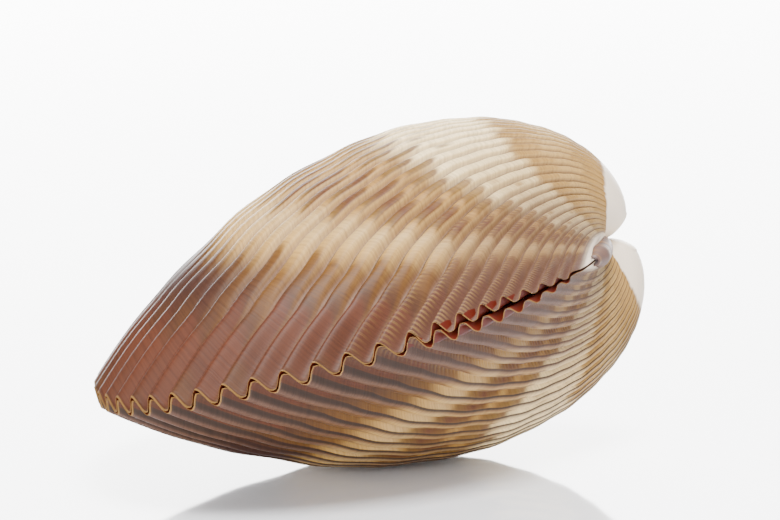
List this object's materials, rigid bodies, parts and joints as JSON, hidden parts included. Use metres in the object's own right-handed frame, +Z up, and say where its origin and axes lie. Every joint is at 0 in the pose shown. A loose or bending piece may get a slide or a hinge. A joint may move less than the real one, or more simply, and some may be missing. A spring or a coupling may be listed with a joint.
{
  "type": "cockle shell",
  "caption": "Closed cockle shell: ribbed, strongly domed valves with an interlocking toothed edge, joined behind the beaks by a short arched ligament, lying on its lower valve.",
  "frame": {"origin": "middle of the shell's outer box, at the surface it lies on", "axes": "+Z up; +X from the open edge towards the beaks; -Y towards the rear end of the shell, where the valves gape a little"},
  "size_m": [0.0968, 0.089, 0.0593],
  "materials": {
    "upper_valve": "satin, banded in terracotta, ochre and cream",
    "lower_valve": "satin, banded in terracotta, ochre and cream",
    "ligament": "dull, horny and dry"
  },
  "bodies": {
    "lower": {"lower_valve": "lower_valve", "ligament": "ligament"},
    "upper": {"upper_valve": "upper_valve"}
  },
  "joints": [
    {"name": "hinge", "type": "hinge", "parent": "lower", "child": "upper", "pos_m": [0.04304, -0.00179, 0.03681], "axis": [0, 1, 0.007], "range_deg": [0, 15], "deforming": ["ligament"]}
  ]
}
